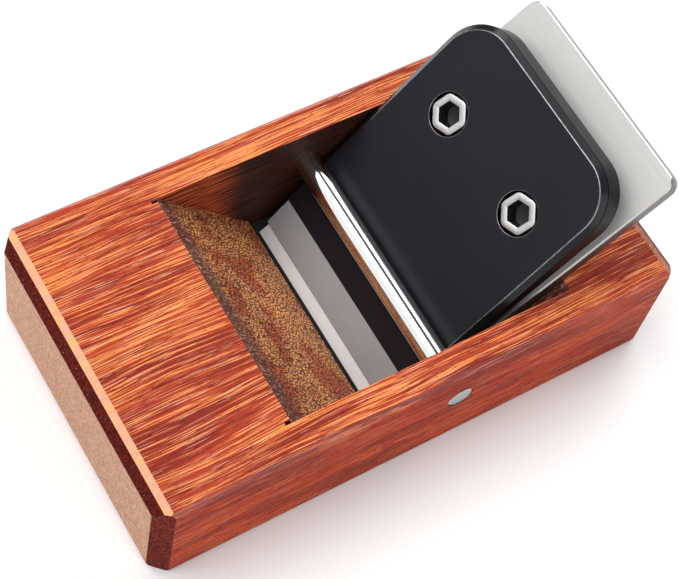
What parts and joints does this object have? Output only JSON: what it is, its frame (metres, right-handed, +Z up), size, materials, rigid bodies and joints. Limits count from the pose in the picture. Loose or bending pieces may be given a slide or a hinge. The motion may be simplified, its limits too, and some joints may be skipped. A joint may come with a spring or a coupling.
{
  "type": "hand plane",
  "caption": "Small wooden bench plane: solid hardwood body with an open throat, cutting iron on a sloping bed, tapered cap iron held under a steel cross rod by socket set screws.",
  "frame": {"origin": "middle of the sole, on the plane the sole rests on", "axes": "+X from the toe to the heel, +Z up from the sole, +Y across the body towards the left of someone pushing it toe first"},
  "size_m": [0.105, 0.06, 0.0465],
  "materials": {
    "wood": "satin oiled",
    "rod": "polished",
    "iron": "finely ground",
    "cap": "satin black with bare edges",
    "screw": "bright plated"
  },
  "bodies": {
    "body": {"wood_body": "wood"},
    "rod": {"cross_rod": "rod"},
    "iron": {"cutting_iron": "iron"},
    "cap": {"cap_iron": "cap"},
    "screw_near": {"set_screw_near": "screw"},
    "screw_far": {"set_screw_far": "screw"}
  },
  "joints": [
    {"name": "rod_turn", "type": "hinge", "parent": "body", "child": "rod", "pos_m": [0.007, 0, 0.0154], "axis": [0, 1, 0], "continuous": true},
    {"name": "iron_slide", "type": "slide", "parent": "body", "child": "iron", "axis": [0.766, 0, 0.6428], "range_m": [-0.0005, 0.038]},
    {"name": "cap_tilt", "type": "hinge", "parent": "body", "child": "cap", "pos_m": [0.007, 0, 0.0154], "axis": [0, 1, 0], "range_deg": [0, 3]},
    {"name": "screw_near_travel", "type": "slide", "parent": "cap", "child": "screw_near", "axis": [-0.7547, 0, 0.6561], "range_m": [0, 0.0016]},
    {"name": "screw_far_travel", "type": "slide", "parent": "cap", "child": "screw_far", "axis": [-0.7547, 0, 0.6561], "range_m": [0, 0.0016]}
  ],
  "couplings": [
    {"joint": "screw_near_travel", "follows": "cap_tilt", "m_per_rad": 0.0278},
    {"joint": "screw_far_travel", "follows": "cap_tilt", "m_per_rad": 0.0278}
  ]
}
